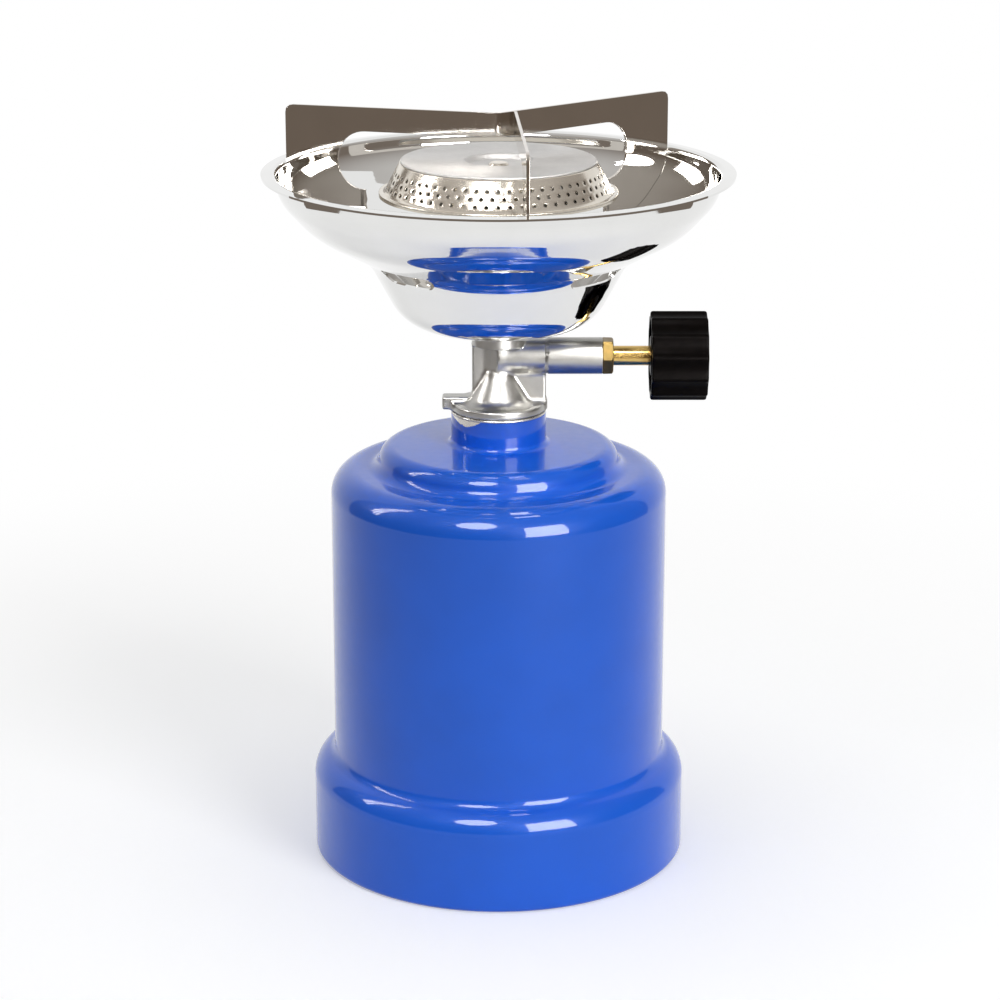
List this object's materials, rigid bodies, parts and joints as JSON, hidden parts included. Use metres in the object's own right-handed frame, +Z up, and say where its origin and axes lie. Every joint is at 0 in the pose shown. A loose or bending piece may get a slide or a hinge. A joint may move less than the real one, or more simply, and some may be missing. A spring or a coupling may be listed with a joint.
{
  "type": "portable gas stove",
  "caption": "Upright camping stove: stepped blue cartridge casing, screw-in valve head with side knob, bright bowl around a ring burner, and a bladed pan support.",
  "frame": {"origin": "centre of the base on the floor, on the casing's axis", "axes": "+Z up along the casing's axis, +X along the valve arm towards the knob"},
  "size_m": [0.1322, 0.1322, 0.2168],
  "materials": {
    "blue_paint": "gloss enamel",
    "bare_steel": "bare",
    "mirror_steel": "mirror polished",
    "blade_steel": "bright rolled",
    "burner_steel": "satin",
    "cast_alloy": "as cast, tumbled",
    "brass": "machined",
    "black_plastic": "moulded satin",
    "rubber": "matte",
    "cartridge_tin": "lacquered tinplate"
  },
  "bodies": {
    "casing_body": {"casing": "blue_paint", "neck_bush": "bare_steel", "bayonet_lugs": "blue_paint", "cartridge_can": "cartridge_tin", "cartridge_end": "cartridge_tin"},
    "lid_body": {"base_lid": "blue_paint", "lid_grip": "blue_paint"},
    "gasket_body": {"cartridge_gasket": "rubber"},
    "head_body": {"valve_body": "cast_alloy", "piercing_needle": "bare_steel", "gauze_filter": "bare_steel", "gland_washer": "rubber", "gland_nut": "brass", "gas_jet": "brass", "bowl_washer": "bare_steel", "mixing_tube": "brass", "bowl": "mirror_steel", "burner_base": "burner_steel", "burner_ring": "burner_steel", "burner_cap": "burner_steel", "gas_baffle": "burner_steel", "cap_rivet": "burner_steel", "pan_support_bent": "blade_steel", "pan_support_front": "blade_steel"},
    "seat_body": {"seat_disc": "rubber"},
    "spindle_body": {"valve_spindle": "brass", "spindle_oring": "rubber", "knob": "black_plastic", "knob_screw": "bare_steel"}
  },
  "joints": [
    {"name": "lid_turn", "type": "hinge", "parent": "casing_body", "child": "lid_body", "pos_m": [0, 0, 0.0122], "axis": [0, 0, 1], "range_deg": [0, 40]},
    {"name": "head_lift", "type": "slide", "parent": "casing_body", "child": "gasket_body", "axis": [0, 0, 1], "range_m": [0, 0.0091]},
    {"name": "head_turn", "type": "hinge", "parent": "gasket_body", "child": "head_body", "pos_m": [0, 0, 0.13196], "axis": [0, 0, 1], "range_deg": [0, 2160]},
    {"name": "spindle_travel", "type": "slide", "parent": "head_body", "child": "seat_body", "axis": [1, 0, 0], "range_m": [0, 0.0021]},
    {"name": "knob_turn", "type": "hinge", "parent": "seat_body", "child": "spindle_body", "pos_m": [0.0429, 0, 0.14762], "axis": [1, 0, 0], "range_deg": [0, 720]}
  ],
  "couplings": [
    {"joint": "head_lift", "follows": "head_turn", "m_per_rad": 0.00023873},
    {"joint": "spindle_travel", "follows": "knob_turn", "m_per_rad": 0.00015915}
  ]
}
